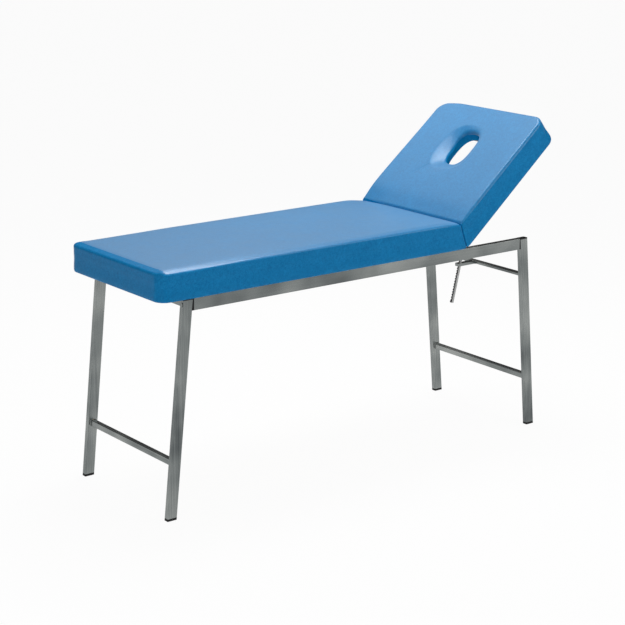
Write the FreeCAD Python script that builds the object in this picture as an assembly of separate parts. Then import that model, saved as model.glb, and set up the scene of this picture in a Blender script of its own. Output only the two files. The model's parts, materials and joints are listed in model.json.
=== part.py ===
"""Examination table: a splayed steel frame carrying an upholstered seat and a hinged
backrest with a breathing hole, held up by a toothed rack.

Frame of the model: origin on the floor under the middle of the whole object, +X towards
the head end, +Y towards the far side, +Z up. Millimetres.
"""
import FreeCAD, Part
import math
import os

Vector = FreeCAD.Vector

# Legs and end frames: oblong tube, its long side lengthwise, leaning in towards the middle at the top
foot_setback = 21.2
head_reach = 371.0
frame_width = 525.0
splay = 5.65
leg_length = 35.0
leg_width = 20.0
leg_wall = 1.5
leg_corner = 2.5
foot_plug_height = 8.0
top_plug_height = 4.0
foot_insert_depth = 24.0
top_insert_depth = 6.0
plug_clearance = 0.2

# Tubes between the legs
brace_size = 20.0
brace_wall = 1.5
brace_corner = 2.0
lower_brace_top = 196.0
foot_crossbar_top = 708.0
rack_crossbar_width = 20.0
rack_crossbar_height = 10.0
rack_crossbar_top = 582.0

# Side rails, their end plugs and the bolts that hold them to the legs
rail_top = 716.0
rail_height = 40.0
rail_width = 20.0
rail_wall = 1.5
rail_corner = 2.0
flange_least = 3.0
rail_plug_depth = 36.0
bolt_radius = 4.0
bolt_clearance = 0.15
bolt_head_radius = 7.0
bolt_head_height = 2.0
bolt_grip = 60.0

# Pads: wooden boxes under a cover with foam
hinge_x = 429.0
seat_length = 1273.0
backrest_length = 547.0
pad_side_overhang = 9.5
pad_edge_height = 98.5
pad_crown = 4.0
crown_flat = 190.0
pad_drawn_in = 2.5
pad_shoulder = 10.0
seat_corner = 40.0
backrest_corner = 46.0
cover_side = 6.0
cover_hem = 1.2
hem_width = 16.0
slat_thickness = 20.0
slat_height = 50.0
panel_thickness = 8.0

# Fold of the backrest and the seam between the pads
backrest_angle = 40.5
steepest_angle = 55.0
seam_setback = 36.0
seam_gap = 0.8
hinge_relief = 7.0

# Breathing hole in the backrest, its middle measured from the head end
hole_from_head = 199.0
hole_length = 156.0
hole_width = 112.0
hole_corner = 52.0
hole_rim = 12.0
hole_sleeve = 3.0

# Butt hinges under the seam and the tube that carries them
hinge_inset = 92.5
leaf_width = 60.0
leaf_length = 55.0
leaf_thickness = 2.5
knuckle_radius = 5.0
knuckle_clearance = 0.4
hinge_pin_radius = 3.0
running_clearance = 0.05
hinge_tube_size = 25.0
hinge_tube_setback = 40.0

# Toothed rack, its clevis on the backrest and the loop that it passes through
rack_pivot_past_hole = 19.0
rack_pivot_drop = 15.0
rack_width = 11.0
rack_thickness = 8.0
rack_eye_radius = 8.5
rack_length = 604.0
tooth_pitch = 10.0
tooth_depth = 3.8
tooth_count = 33
rack_tail = 8.0
rack_cross_reach = 217.0
loop_strap = 6.0
loop_side_clearance = 1.5
loop_front_gap = 2.0
clevis_pin_radius = 4.0
clevis_pin_end = 3.0
clevis_plate = 3.0
clevis_length = 30.0
clevis_side_clearance = 0.5
clevis_ear_drop = 22.0
middle_slat_width = 50.0
middle_slat_thickness = 12.0
middle_slat_past_hole = 4.0

origin = Vector(0, 0, 0)
along_x = Vector(1, 0, 0)
along_y = Vector(0, 1, 0)
along_z = Vector(0, 0, 1)
hinge_point = Vector(hinge_x, 0, rail_top)
seat_end_x = hinge_x - seat_length
rack_cross_x = hinge_x + rack_cross_reach
sides = {"near": -1, "far": 1}
ends = {"foot": -1, "head": 1}
feet_outer_x = {-1: seat_end_x + foot_setback, 1: hinge_x + head_reach}
half_width = frame_width / 2
pad_width = frame_width + 2 * pad_side_overhang
box_half = pad_width / 2 - cover_side
hinge_spacing = frame_width - 2 * hinge_inset
hole_centre = backrest_length - hole_from_head
hole_head_edge = hole_centre + hole_length / 2
slat_bottom = rail_top + cover_hem
panel_bottom = slat_bottom + slat_height
panel_top = panel_bottom + panel_thickness
far_away = 2000.0
os.makedirs("parts", exist_ok=True)


def save(name, shape):
    """Write one piece under its node name."""
    shape.exportStep("parts/" + name + ".step")


def block(x0, x1, y0, y1, z0, z1):
    """A plain box between two corners."""
    return Part.makeBox(x1 - x0, y1 - y0, z1 - z0, Vector(x0, y0, z0))


def corner_arc(start, corner, end):
    """A quarter arc that rounds the corner between two points."""
    middle = (start + end) * 0.5
    shift = (corner - middle) * (math.sqrt(2) - 1)
    return Part.Arc(start, middle + shift, end).toShape()


def outline(x0, x1, y0, y1, z, start_radius, end_radius):
    """A rectangle at height z, its corners rounded by start_radius at x0 and end_radius at x1."""
    corners = [
        (Vector(x0, y0, z), start_radius),
        (Vector(x1, y0, z), end_radius),
        (Vector(x1, y1, z), end_radius),
        (Vector(x0, y1, z), start_radius),
    ]
    edges = []
    for index, (corner, radius) in enumerate(corners):
        before = (corners[index - 1][0] - corner).normalize()
        following, next_radius = corners[(index + 1) % 4]
        after = (following - corner).normalize()
        leave = corner + after * radius
        if radius > 0:
            edges.append(corner_arc(corner + before * radius, corner, leave))
        edges.append(Part.LineSegment(leave, following - after * next_radius).toShape())
    return Part.Wire(edges)


def bar(size_x, size_y, corner, z0, z1):
    """A bar along Z about the Z axis with rounded long edges."""
    wire = outline(-size_x / 2, size_x / 2, -size_y / 2, size_y / 2, z0, corner, corner)
    return Part.Face(wire).extrude(Vector(0, 0, z1 - z0))


def tube(size_x, size_y, corner, wall, length):
    """A rectangular tube along Z about the Z axis, its middle at the origin."""
    outer = bar(size_x, size_y, corner, -length / 2, length / 2)
    return outer.cut(bar(size_x - 2 * wall, size_y - 2 * wall, 0, -length / 2, length / 2))


def laid_across(shape):
    """Turn a tube made along Z so that it runs along Y."""
    return shape.rotated(origin, along_x, 90)


def laid_lengthwise(shape):
    """Turn a tube made along Z so that it runs along X, its X side upright."""
    return shape.rotated(origin, along_y, 90)


def moved(shape, x, y, z):
    return shape.translated(Vector(x, y, z))


def rod(radius, start, direction, length):
    return Part.makeCylinder(radius, length, start, direction)


# End frames: a leg's axis meets the floor at leg_floor_x and leans inwards by the splay

lean = math.radians(splay)
leg_half_level = leg_length / 2 / math.cos(lean)


def leg_floor_x(side):
    return feet_outer_x[side] - side * leg_half_level


def leg_axis_x(side, height):
    return leg_floor_x(side) - side * height * math.tan(lean)


def leaning(shape, side):
    """Place a shape made about an upright leg axis on the leaning end frame."""
    return moved(shape.rotated(origin, along_y, -side * splay), leg_floor_x(side), 0, 0)


def along_leg(height):
    """Distance along the leaning leg up to a height above the floor."""
    return height / math.cos(lean)


def level_slice(shape, z0, z1):
    return shape.common(block(-far_away, far_away, -far_away, far_away, z0, z1))


leg_y = half_width - leg_width / 2
rail_y = half_width - rail_width / 2
bolt_height = along_leg(rail_top - rail_height / 2)
leg_cut_low = foot_plug_height
leg_cut_high = rail_top - top_plug_height
leg_run = 2 * rail_top
plug_margin = 2 * leg_wall + 2 * plug_clearance


def bolt_hole(side, y):
    start = Vector(side * leg_length, y, bolt_height)
    hole = rod(bolt_radius + bolt_clearance, start, Vector(-side, 0, 0), 2 * leg_length + bolt_grip)
    return leaning(hole, side)


bolts = []
for end_name, end in ends.items():
    for side_name, y_sign in sides.items():
        name = end_name + "_{}_" + side_name
        y = y_sign * leg_y
        long_tube = tube(leg_length, leg_width, leg_corner, leg_wall, 2 * leg_run)
        whole_leg = leaning(moved(long_tube, 0, y, 0), end)
        outer = leaning(moved(bar(leg_length, leg_width, leg_corner, -leg_run, leg_run), 0, y, 0), end)
        core = bar(leg_length - plug_margin, leg_width - plug_margin, 0, -leg_run, leg_run)
        inner = leaning(moved(core, 0, y, 0), end)
        leg = level_slice(whole_leg, leg_cut_low, leg_cut_high).cut(bolt_hole(end, y_sign * rail_y))
        save(name.format("leg"), leg)
        foot_flange = level_slice(outer, 0, leg_cut_low)
        foot_insert = level_slice(inner, leg_cut_low, leg_cut_low + foot_insert_depth)
        save(name.format("foot_plug"), foot_flange.fuse(foot_insert).removeSplitter())
        top_flange = level_slice(outer, leg_cut_high, rail_top)
        top_insert = level_slice(inner, leg_cut_high - top_insert_depth, leg_cut_high)
        save(name.format("top_plug"), top_flange.fuse(top_insert).removeSplitter())
        head_seat = Vector(end * leg_length / 2, y_sign * rail_y, bolt_height)
        shank = rod(bolt_radius, head_seat, Vector(-end, 0, 0), bolt_grip)
        head = rod(bolt_head_radius, head_seat, Vector(end, 0, 0), bolt_head_height)
        bolts.append(leaning(shank.fuse(head), end))
save("leg_bolts", Part.makeCompound(bolts))

between_legs = frame_width - 2 * leg_width
brace = laid_across(tube(brace_size, brace_size, brace_corner, brace_wall, between_legs))
brace_middle = along_leg(lower_brace_top - brace_size / 2)
for end_name, end in ends.items():
    save(end_name + "_brace", leaning(moved(brace, 0, 0, brace_middle), end))
foot_crossbar_middle = along_leg(foot_crossbar_top - brace_size / 2)
save("foot_crossbar", leaning(moved(brace, 0, 0, foot_crossbar_middle), ends["foot"]))

rack_crossbar_middle = along_leg(rack_crossbar_top - rack_crossbar_height / 2)
flat_tube = tube(rack_crossbar_width, rack_crossbar_height, brace_corner, brace_wall, between_legs)
save("rack_crossbar", leaning(moved(laid_across(flat_tube), 0, 0, rack_crossbar_middle), ends["head"]))

# Side rails: their ends stop short of the legs by a wedge of plastic


def rail_end_x(side):
    return leg_axis_x(side, rail_top) - side * (leg_half_level + flange_least)


rail_length = rail_end_x(1) - rail_end_x(-1)
rail_middle_x = (rail_end_x(1) + rail_end_x(-1)) / 2
rail_middle_z = rail_top - rail_height / 2
rail = laid_lengthwise(tube(rail_height, rail_width, rail_corner, rail_wall, rail_length))
rail_core_height = rail_height - 2 * rail_wall - 2 * plug_clearance
rail_core_width = rail_width - 2 * rail_wall - 2 * plug_clearance
for side_name, y_sign in sides.items():
    save("side_rail_" + side_name, moved(rail, rail_middle_x, y_sign * rail_y, rail_middle_z))
    for end_name, end in ends.items():
        wedge = laid_lengthwise(bar(rail_height, rail_width, rail_corner, -leg_length, leg_length))
        wedge = moved(wedge, rail_end_x(end) + end * leg_length, y_sign * rail_y, rail_middle_z)
        beyond = block(-leg_length / 2, far_away, -far_away, far_away, -leg_run, leg_run)
        if end < 0:
            beyond = beyond.mirror(origin, along_x)
        core = laid_lengthwise(bar(rail_core_height, rail_core_width, 0, 0, rail_plug_depth))
        core_start = rail_end_x(end) if end < 0 else rail_end_x(end) - rail_plug_depth
        core = moved(core, core_start, y_sign * rail_y, rail_middle_z)
        plug = wedge.cut(leaning(beyond, end)).fuse(core).removeSplitter()
        save(end_name + "_rail_plug_" + side_name, plug.cut(bolt_hole(end, y_sign * rail_y)))

hinge_tube_top = rail_top - leaf_thickness
hinge_tube_length = frame_width - 2 * rail_width
hinge_tube = laid_across(tube(hinge_tube_size, hinge_tube_size, brace_corner, brace_wall, hinge_tube_length))
save("hinge_tube", moved(hinge_tube, hinge_x - hinge_tube_setback, 0, hinge_tube_top - hinge_tube_size / 2))

# Pads: a wooden box closed by a panel, under a cushion that wraps over its sides


def pad_form(end_x, seam_x, corner):
    """Outer form of a cushion from its free end to past the seam: drawn in where the foam meets
    the wooden box, rolled out above it, turned over a tight shoulder and crowned in the middle."""
    roll = pad_edge_height - pad_shoulder
    levels = [(0, pad_drawn_in / 2), (cover_hem + slat_height, pad_drawn_in)]
    waist = cover_hem + slat_height
    for share in (0.4, 0.75, 1.0):
        levels.append((waist + share * (roll - waist), pad_drawn_in * (1 - share) ** 2))
    for degrees in (30, 60, 90):
        turn = math.radians(degrees)
        levels.append((roll + pad_shoulder * math.sin(turn), pad_shoulder * (1 - math.cos(turn))))
    for share in (0.35, 0.7, 1.0):
        inset = pad_shoulder + share * (crown_flat - pad_shoulder)
        levels.append((pad_edge_height + pad_crown * (1 - (1 - share) ** 2), inset))
    sections = []
    for height, inset in levels:
        half = pad_width / 2 - inset
        z = rail_top + height
        if end_x < seam_x:
            sections.append(outline(end_x + inset, seam_x, -half, half, z, corner, 0))
        else:
            sections.append(outline(seam_x, end_x - inset, -half, half, z, 0, corner))
    return Part.makeLoft(sections, True, True)


def seam_cutter(direction):
    """Everything past a pad's bevelled seam face, which leans back by half the steepest fold."""
    past = block(hinge_x - seam_gap, hinge_x + far_away / 4, -far_away, far_away,
                 rail_top - far_away / 4, rail_top + far_away / 4)
    if direction > 0:
        past = past.mirror(hinge_point, along_x)
    return past.rotated(hinge_point, along_y, -direction * -steepest_angle / 2)


def box_space(x0, x1, z0, z1, inset=0):
    """The space of a pad's box, its corners at the free end rounded to follow the cushion."""
    drawn_in = cover_side + inset
    start_radius = seat_corner - drawn_in if x1 < hinge_x else 0
    end_radius = backrest_corner - drawn_in if x0 > hinge_x else 0
    half = box_half - inset
    face = Part.Face(outline(x0 + inset, x1 - inset, -half, half, z0, start_radius, end_radius))
    return face.extrude(Vector(0, 0, z1 - z0))


def under_cover(x0, x1):
    """What the cushion leaves free: the box, and the opening inside the hem turned under it."""
    return box_space(x0, x1, slat_bottom, panel_top).fuse(box_space(x0, x1, rail_top, slat_bottom, hem_width))


def box_pieces(prefix, x0, x1):
    """Two side slats, two end slats and the panel of a pad's box, by node name."""
    z0, z1 = slat_bottom, panel_bottom
    inner = box_half - slat_thickness
    frame_space = box_space(x0, x1, z0, z1)
    pieces = {
        prefix + "_slat_near": block(x0, x1, -box_half, -inner, z0, z1),
        prefix + "_slat_far": block(x0, x1, inner, box_half, z0, z1),
        prefix + "_slat_foot": block(x0, x0 + slat_thickness, -inner, inner, z0, z1),
        prefix + "_slat_head": block(x1 - slat_thickness, x1, -inner, inner, z0, z1),
    }
    pieces = {name: shape.common(frame_space) for name, shape in pieces.items()}
    pieces[prefix + "_panel"] = box_space(x0, x1, panel_bottom, panel_top)
    return pieces


overrun = 120.0
seam_groove = rod(hinge_relief, Vector(hinge_x, -pad_width, rail_top), along_y, 2 * pad_width)

seat_box_start = seat_end_x + cover_side
seat_box_end = hinge_x - seam_setback
for name, shape in box_pieces("seat", seat_box_start, seat_box_end).items():
    save(name, shape)
seat_cushion = pad_form(seat_end_x, hinge_x + overrun, seat_corner).cut(seam_cutter(-1))
save("seat_cushion", seat_cushion.cut(seam_groove).cut(under_cover(seat_box_start, seat_box_end)))

# Backrest: made lying flat, then raised about the hinge axis


def raised(shape):
    return shape.rotated(hinge_point, along_y, -backrest_angle)


def hole_outline(grow, z):
    """The breathing hole's oval, grown by a margin."""
    middle = hinge_x + hole_centre
    half_length = hole_length / 2 + grow
    half = hole_width / 2 + grow
    radius = hole_corner + grow
    return outline(middle - half_length, middle + half_length, -half, half, z, radius, radius)


def hole_prism(grow, z0, z1):
    return Part.Face(hole_outline(grow, z0)).extrude(Vector(0, 0, z1 - z0))


def hole_flare():
    """The rolled rim: the hole opens over a quarter round up to the cushion's surface."""
    top = rail_top + pad_edge_height + pad_crown
    sections = []
    for degrees in (0, 25, 50, 70, 90):
        turn = math.radians(degrees)
        height = top - hole_rim + hole_rim * math.sin(turn)
        sections.append(hole_outline(hole_rim * (1 - math.cos(turn)), height))
    sections.append(hole_outline(hole_rim, top + pad_crown))
    return Part.makeLoft(sections, True, True)


backrest_end_x = hinge_x + backrest_length
backrest_box_start = hinge_x + seam_setback
backrest_box_end = backrest_end_x - cover_side
backrest_pieces = box_pieces("backrest", backrest_box_start, backrest_box_end)
panel_hole = hole_prism(hole_sleeve, rail_top, panel_top)
backrest_pieces["backrest_panel"] = backrest_pieces["backrest_panel"].cut(panel_hole)
middle_slat_x = hinge_x + hole_head_edge + middle_slat_past_hole
backrest_pieces["backrest_slat_middle"] = block(
    middle_slat_x, middle_slat_x + middle_slat_width,
    -box_half + slat_thickness, box_half - slat_thickness,
    panel_bottom - middle_slat_thickness, panel_bottom)
sleeve = hole_prism(hole_sleeve, panel_bottom, panel_top)
backrest_space = under_cover(backrest_box_start, backrest_box_end).cut(sleeve)
backrest_cushion = pad_form(backrest_end_x, hinge_x - overrun, backrest_corner)
backrest_cushion = backrest_cushion.cut(seam_cutter(1)).cut(seam_groove)
backrest_cushion = backrest_cushion.cut(backrest_space)
backrest_cushion = backrest_cushion.cut(hole_prism(0, rail_top, panel_top + pad_edge_height))
backrest_pieces["backrest_cushion"] = backrest_cushion.cut(hole_flare())

# Butt hinges: the fixed leaf has the two outer knuckles, the moving leaf the middle one


def knuckle_span(y, first, last, radius, grow):
    """A round bar about the hinge axis over some thirds of the leaf's width."""
    third = leaf_width / 3
    start = y - leaf_width / 2 + first * third - grow
    return rod(radius, Vector(hinge_x, start, rail_top), along_y, (last - first) * third + 2 * grow)


def hinge_leaf(y, direction, own, other, bore):
    """One leaf with its own knuckles, cleared of the other leaf's knuckles."""
    x0, x1 = sorted((hinge_x, hinge_x + direction * leaf_length))
    leaf = block(x0, x1, y - leaf_width / 2, y + leaf_width / 2, rail_top - leaf_thickness, rail_top)
    for first, last in own:
        leaf = leaf.fuse(knuckle_span(y, first, last, knuckle_radius, 0))
    for first, last in other:
        leaf = leaf.cut(knuckle_span(y, first, last, knuckle_radius + knuckle_clearance, knuckle_clearance))
    return leaf.cut(knuckle_span(y, 0, 3, bore, knuckle_clearance)).removeSplitter()


outer_thirds = [(0, 1), (2, 3)]
middle_third = [(1, 2)]
for side_name, y_sign in sides.items():
    y = y_sign * hinge_spacing / 2
    save("hinge_leaf_seat_" + side_name, hinge_leaf(y, -1, outer_thirds, middle_third, hinge_pin_radius))
    save("hinge_pin_" + side_name, knuckle_span(y, 0, 3, hinge_pin_radius, 0))
    moving = hinge_leaf(y, 1, middle_third, outer_thirds, hinge_pin_radius + running_clearance)
    backrest_pieces["hinge_leaf_backrest_" + side_name] = moving

# Clevis under the middle slat, with the pin that the rack turns on
clevis_top = panel_bottom - middle_slat_thickness
pivot_flat = Vector(hinge_x + hole_head_edge + rack_pivot_past_hole, 0, clevis_top - rack_pivot_drop)
ear_inner = rack_thickness / 2 + clevis_side_clearance
ear_outer = ear_inner + clevis_plate
clevis_x0 = pivot_flat.x - clevis_length / 2
clevis_x1 = pivot_flat.x + clevis_length / 2
clevis = block(clevis_x0, clevis_x1, -2 * ear_outer, 2 * ear_outer, clevis_top - clevis_plate, clevis_top)
for y_sign in sides.values():
    y0, y1 = sorted((y_sign * ear_inner, y_sign * ear_outer))
    clevis = clevis.fuse(block(clevis_x0, clevis_x1, y0, y1, clevis_top - clevis_ear_drop, clevis_top))
clevis_bore = rod(clevis_pin_radius, pivot_flat - along_y * (3 * ear_outer), along_y, 6 * ear_outer)
backrest_pieces["rack_clevis"] = clevis.removeSplitter().cut(clevis_bore)
pin_half = ear_outer + clevis_pin_end
backrest_pieces["rack_pin"] = rod(clevis_pin_radius, pivot_flat - along_y * pin_half, along_y, 2 * pin_half)

for name, shape in backrest_pieces.items():
    save(name, raised(shape))

# Toothed rack: made hanging straight down from its eye, teeth towards the foot end
pivot = Part.Vertex(pivot_flat).rotated(hinge_point, along_y, -backrest_angle).Point
loop_top = rack_crossbar_top
loop_middle = loop_top - rack_crossbar_height / 2
rack_lean = math.atan2(pivot.x - rack_cross_x, pivot.z - loop_middle)


def rack_profile():
    """Side view of the bar: a straight back, a saw-toothed front and a square lower end."""
    front = -rack_width / 2
    back = rack_width / 2
    bottom = -rack_length
    points = [Vector(back, 0, 0), Vector(back, 0, bottom), Vector(front, 0, bottom)]
    for index in range(tooth_count):
        root = bottom + rack_tail + index * tooth_pitch
        points.append(Vector(front, 0, root))
        points.append(Vector(front + tooth_depth, 0, root + tooth_pitch - tooth_depth / 2))
        points.append(Vector(front, 0, root + tooth_pitch))
    points += [Vector(front, 0, 0), Vector(back, 0, 0)]
    return Part.Face(Part.makePolygon(points))


rack = rack_profile().extrude(along_y * rack_thickness).translated(along_y * (-rack_thickness / 2))
rack = rack.fuse(rod(rack_eye_radius, along_y * (-rack_thickness / 2), along_y, rack_thickness))
rack_bore = rod(clevis_pin_radius + running_clearance, along_y * -rack_thickness, along_y, 2 * rack_thickness)
rack = rack.cut(rack_bore)
rack = rack.removeSplitter().rotated(origin, along_y, math.degrees(rack_lean))
save("rack", rack.translated(pivot))

# Loop: a strap bent to a U, both ends on the crossbar, the rack between them
loop_inner = rack_thickness / 2 + loop_side_clearance
loop_outer = loop_inner + loop_strap
rack_front = rack_width / 2 / math.cos(rack_lean) + rack_crossbar_height / 2 * math.tan(rack_lean)
loop_front = rack_cross_x - rack_front - loop_front_gap
loop_back = leg_axis_x(ends["head"], loop_middle)
loop_low = loop_top - rack_crossbar_height
loop_form = outline(loop_front - loop_strap, loop_back, -loop_outer, loop_outer, loop_low, loop_strap, 0)
loop_slot = outline(loop_front, loop_back, -loop_inner, loop_inner, loop_low, 1.0, 0)
loop = Part.Face(loop_form).extrude(along_z * rack_crossbar_height)
loop = loop.cut(Part.Face(loop_slot).extrude(along_z * rack_crossbar_height))
tall_bar = bar(rack_crossbar_width, 4 * rack_crossbar_height, brace_corner, -2 * loop_outer, 2 * loop_outer)
crossbar_space = leaning(moved(laid_across(tall_bar), 0, 0, rack_crossbar_middle), ends["head"])
save("rack_loop", loop.cut(crossbar_space))
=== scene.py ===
"""Examination table: the looks of a splayed grey steel frame with a blue upholstered seat and a
hinged backrest. Metres, +X towards the head end, +Y towards the far side, +Z up."""
import json
import math

import bmesh
import bpy
import numpy as np
from mathutils import Matrix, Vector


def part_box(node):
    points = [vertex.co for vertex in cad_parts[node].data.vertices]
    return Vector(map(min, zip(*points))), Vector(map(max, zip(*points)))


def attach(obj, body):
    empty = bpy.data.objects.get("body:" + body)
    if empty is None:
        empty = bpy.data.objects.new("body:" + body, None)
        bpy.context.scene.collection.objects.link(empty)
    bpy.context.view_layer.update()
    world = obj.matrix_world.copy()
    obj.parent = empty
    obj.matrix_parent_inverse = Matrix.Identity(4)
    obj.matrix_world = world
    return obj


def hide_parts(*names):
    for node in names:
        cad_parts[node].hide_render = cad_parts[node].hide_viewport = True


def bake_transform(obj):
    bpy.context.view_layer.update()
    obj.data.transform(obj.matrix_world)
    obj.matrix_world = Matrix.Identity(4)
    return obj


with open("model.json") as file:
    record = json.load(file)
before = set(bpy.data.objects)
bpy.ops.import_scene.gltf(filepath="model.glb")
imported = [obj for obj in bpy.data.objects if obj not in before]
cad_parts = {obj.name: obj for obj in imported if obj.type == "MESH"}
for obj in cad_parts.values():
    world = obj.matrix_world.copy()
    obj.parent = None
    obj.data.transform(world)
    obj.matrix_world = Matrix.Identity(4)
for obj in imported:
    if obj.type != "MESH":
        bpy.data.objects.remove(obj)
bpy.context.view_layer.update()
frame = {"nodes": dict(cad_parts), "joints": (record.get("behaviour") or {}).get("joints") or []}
nodes = frame["nodes"]
sides = {"near": -1.0, "far": 1.0}
ends = {"foot": -1.0, "head": 1.0}

# Legs: four oblong steel tubes, cut to the splay at the floor, sprayed with a grey metallic
# lacquer that shows the drawing lines of the tube. Its broad light and dark patches are partly
# tarnish and partly painted reflection; its dark specks, stronger near the floor, are partly
# scuffs and partly painted shade.


def new_finish(name, roughness, metallic=0.0, specular=0.5):
    """A material with its shader's plain numbers set; gives the material, its node tree, the
    shader and the place of a point on the object."""
    material = bpy.data.materials.new(name)
    material.use_nodes = True
    tree = material.node_tree
    shader = tree.nodes["Principled BSDF"]
    shader.inputs["Roughness"].default_value = roughness
    shader.inputs["Metallic"].default_value = metallic
    shader.inputs["Specular IOR Level"].default_value = specular
    place = tree.nodes.new("ShaderNodeTexCoord").outputs["Object"]
    return material, tree, shader, place


def stretched(tree, place, scale):
    """The place scaled by a factor for each axis, so that a pattern is drawn out along one."""
    mapping = tree.nodes.new("ShaderNodeMapping")
    mapping.inputs["Scale"].default_value = scale
    tree.links.new(place, mapping.inputs["Vector"])
    return mapping.outputs["Vector"]


def clouds(tree, place, scale, detail=3.0, roughness=0.55):
    """Soft fractal noise, scale in patches to the metre."""
    noise = tree.nodes.new("ShaderNodeTexNoise")
    noise.inputs["Scale"].default_value = scale
    noise.inputs["Detail"].default_value = detail
    noise.inputs["Roughness"].default_value = roughness
    tree.links.new(place, noise.inputs["Vector"])
    return noise.outputs["Fac"]


def spread(tree, value, low, high, to_low, to_high):
    """Maps a value's range onto another one, clamped at its ends."""
    ranged = tree.nodes.new("ShaderNodeMapRange")
    ranged.inputs["From Min"].default_value = low
    ranged.inputs["From Max"].default_value = high
    ranged.inputs["To Min"].default_value = to_low
    ranged.inputs["To Max"].default_value = to_high
    tree.links.new(value, ranged.inputs["Value"])
    return ranged.outputs["Result"]


def sum_of(tree, first, second, operation="ADD"):
    """Two values joined by one arithmetic step."""
    step = tree.nodes.new("ShaderNodeMath")
    step.operation = operation
    for socket, value in zip(step.inputs, (first, second)):
        if isinstance(value, float):
            socket.default_value = value
        else:
            tree.links.new(value, socket)
    return step.outputs["Value"]


def colours(tree, value, stops):
    """Colours laid along a value: each stop is a position and a linear colour."""
    ramp = tree.nodes.new("ShaderNodeValToRGB")
    band = ramp.color_ramp
    while len(band.elements) < len(stops):
        band.elements.new(0.5)
    for element, (position, colour) in zip(band.elements, stops):
        element.position = position
        element.color = (*colour, 1.0)
    tree.links.new(value, ramp.inputs["Fac"])
    return ramp.outputs["Color"]


def tinted(tree, below, above, share):
    """One colour laid over another by a share."""
    mix = tree.nodes.new("ShaderNodeMix")
    mix.data_type = "RGBA"
    tree.links.new(share, mix.inputs["Factor"])
    for socket, colour in zip((mix.inputs[6], mix.inputs[7]), (below, above)):
        if isinstance(colour, tuple):
            socket.default_value = (*colour, 1.0)
        else:
            tree.links.new(colour, socket)
    return mix.outputs[2]


def embossed(tree, shader, height, strength, distance):
    """Raises the surface by a height pattern, distance in metres, on top of any relief it has."""
    bump = tree.nodes.new("ShaderNodeBump")
    bump.inputs["Strength"].default_value = strength
    bump.inputs["Distance"].default_value = distance
    tree.links.new(height, bump.inputs["Height"])
    socket = shader.inputs["Normal"]
    if socket.is_linked:
        tree.links.new(socket.links[0].from_socket, bump.inputs["Normal"])
    tree.links.new(bump.outputs["Normal"], socket)


def height_above_floor(tree, place):
    """The Z part of a place."""
    parts = tree.nodes.new("ShaderNodeSeparateXYZ")
    tree.links.new(place, parts.inputs["Vector"])
    return parts.outputs["Z"]


def lacquered_steel(name, drawn, lined):
    """Grey metallic lacquer on drawn tube; drawn scales the drawing lines for each axis and lined
    is how strongly they show. Broad light and dark patches are partly tarnish and partly painted
    reflection; dark specks that grow towards the floor are partly scuffs and partly painted shade."""
    material, tree, shader, place = new_finish(name, 0.22, metallic=0.96)
    lines = clouds(tree, stretched(tree, place, drawn), 1.0, 3.0, 0.5)
    # Broad light and dark patches: partly tarnish, partly painted reflection.
    tarnish_and_reflection_zones = clouds(tree, place, 4.5, 2.0)
    shade = sum_of(tree, sum_of(tree, lines, lined, "MULTIPLY"), tarnish_and_reflection_zones)
    middle = 0.5 + 0.5 * lined
    shades = (middle - 0.28, middle + 0.28)
    grey = colours(tree, spread(tree, shade, *shades, 0.0, 1.0),
                   [(0.0, (0.070, 0.079, 0.082)), (0.45, (0.178, 0.194, 0.192)),
                    (1.0, (0.34, 0.356, 0.345))])
    # Dark specks that grow stronger towards the floor: partly scuffs, partly painted shade of the lower
    # legs.
    specks = spread(tree, clouds(tree, place, 260.0, 2.0), 0.69, 0.74, 0.0, 0.55)
    low = spread(tree, height_above_floor(tree, place), 0.02, 0.16, 1.0, 0.12)
    scuffs_and_low_shade = sum_of(tree, specks, low, "MULTIPLY")
    scuffed_and_shaded = tinted(tree, grey, (0.07, 0.068, 0.064), scuffs_and_low_shade)
    tree.links.new(scuffed_and_shaded, shader.inputs["Base Color"])
    tree.links.new(spread(tree, shade, *shades, 0.16, 0.27), shader.inputs["Roughness"])
    embossed(tree, shader, clouds(tree, place, 850.0, 2.0), 0.08, 0.0003)
    embossed(tree, shader, lines, 0.1 * lined, 0.0002)
    return material


def dress(names, material):
    """Gives CAD nodes their finish."""
    for name in names:
        mesh = nodes[name].data
        mesh.materials.clear()
        mesh.materials.append(material)


upright_lacquer = lacquered_steel("grey_lacquer_upright", (260.0, 260.0, 2.0), 0.45)
dress([f"{end}_leg_{side}" for end in ends for side in sides], upright_lacquer)

# Plugs: black polythene feet, leg caps and rail caps, pushed into the open tube ends.
# The moulded skin is finely grained; the feet are rubbed grey where they meet the floor.


def moulded_plastic(name):
    """Black moulded plastic: a fine grain, duller patches and a grey rub close to the floor."""
    material, tree, shader, place = new_finish(name, 0.5, specular=0.15)
    grain = clouds(tree, place, 1400.0, 2.0)
    patches = clouds(tree, place, 70.0, 4.0)
    black = colours(tree, patches, [(0.3, (0.008, 0.008, 0.009)), (0.75, (0.022, 0.022, 0.023))])
    rubbed = sum_of(tree, spread(tree, height_above_floor(tree, place), 0.0, 0.004, 0.25, 0.0),
                    patches, "MULTIPLY")
    tree.links.new(tinted(tree, black, (0.10, 0.098, 0.092), rubbed), shader.inputs["Base Color"])
    tree.links.new(spread(tree, patches, 0.3, 0.75, 0.42, 0.62), shader.inputs["Roughness"])
    embossed(tree, shader, grain, 0.25, 0.0002)
    return material


plug_plastic = moulded_plastic("black_moulded_plastic")
dress([f"{end}_{kind}_plug_{side}" for end in ends for kind in ("foot", "top", "rail")
       for side in sides], plug_plastic)

# Braces and crossbars: thinner square tubes between the legs of each end, lacquered with the
# legs after welding. A bead of weld runs round each end where it meets the leg's inner face.


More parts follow.
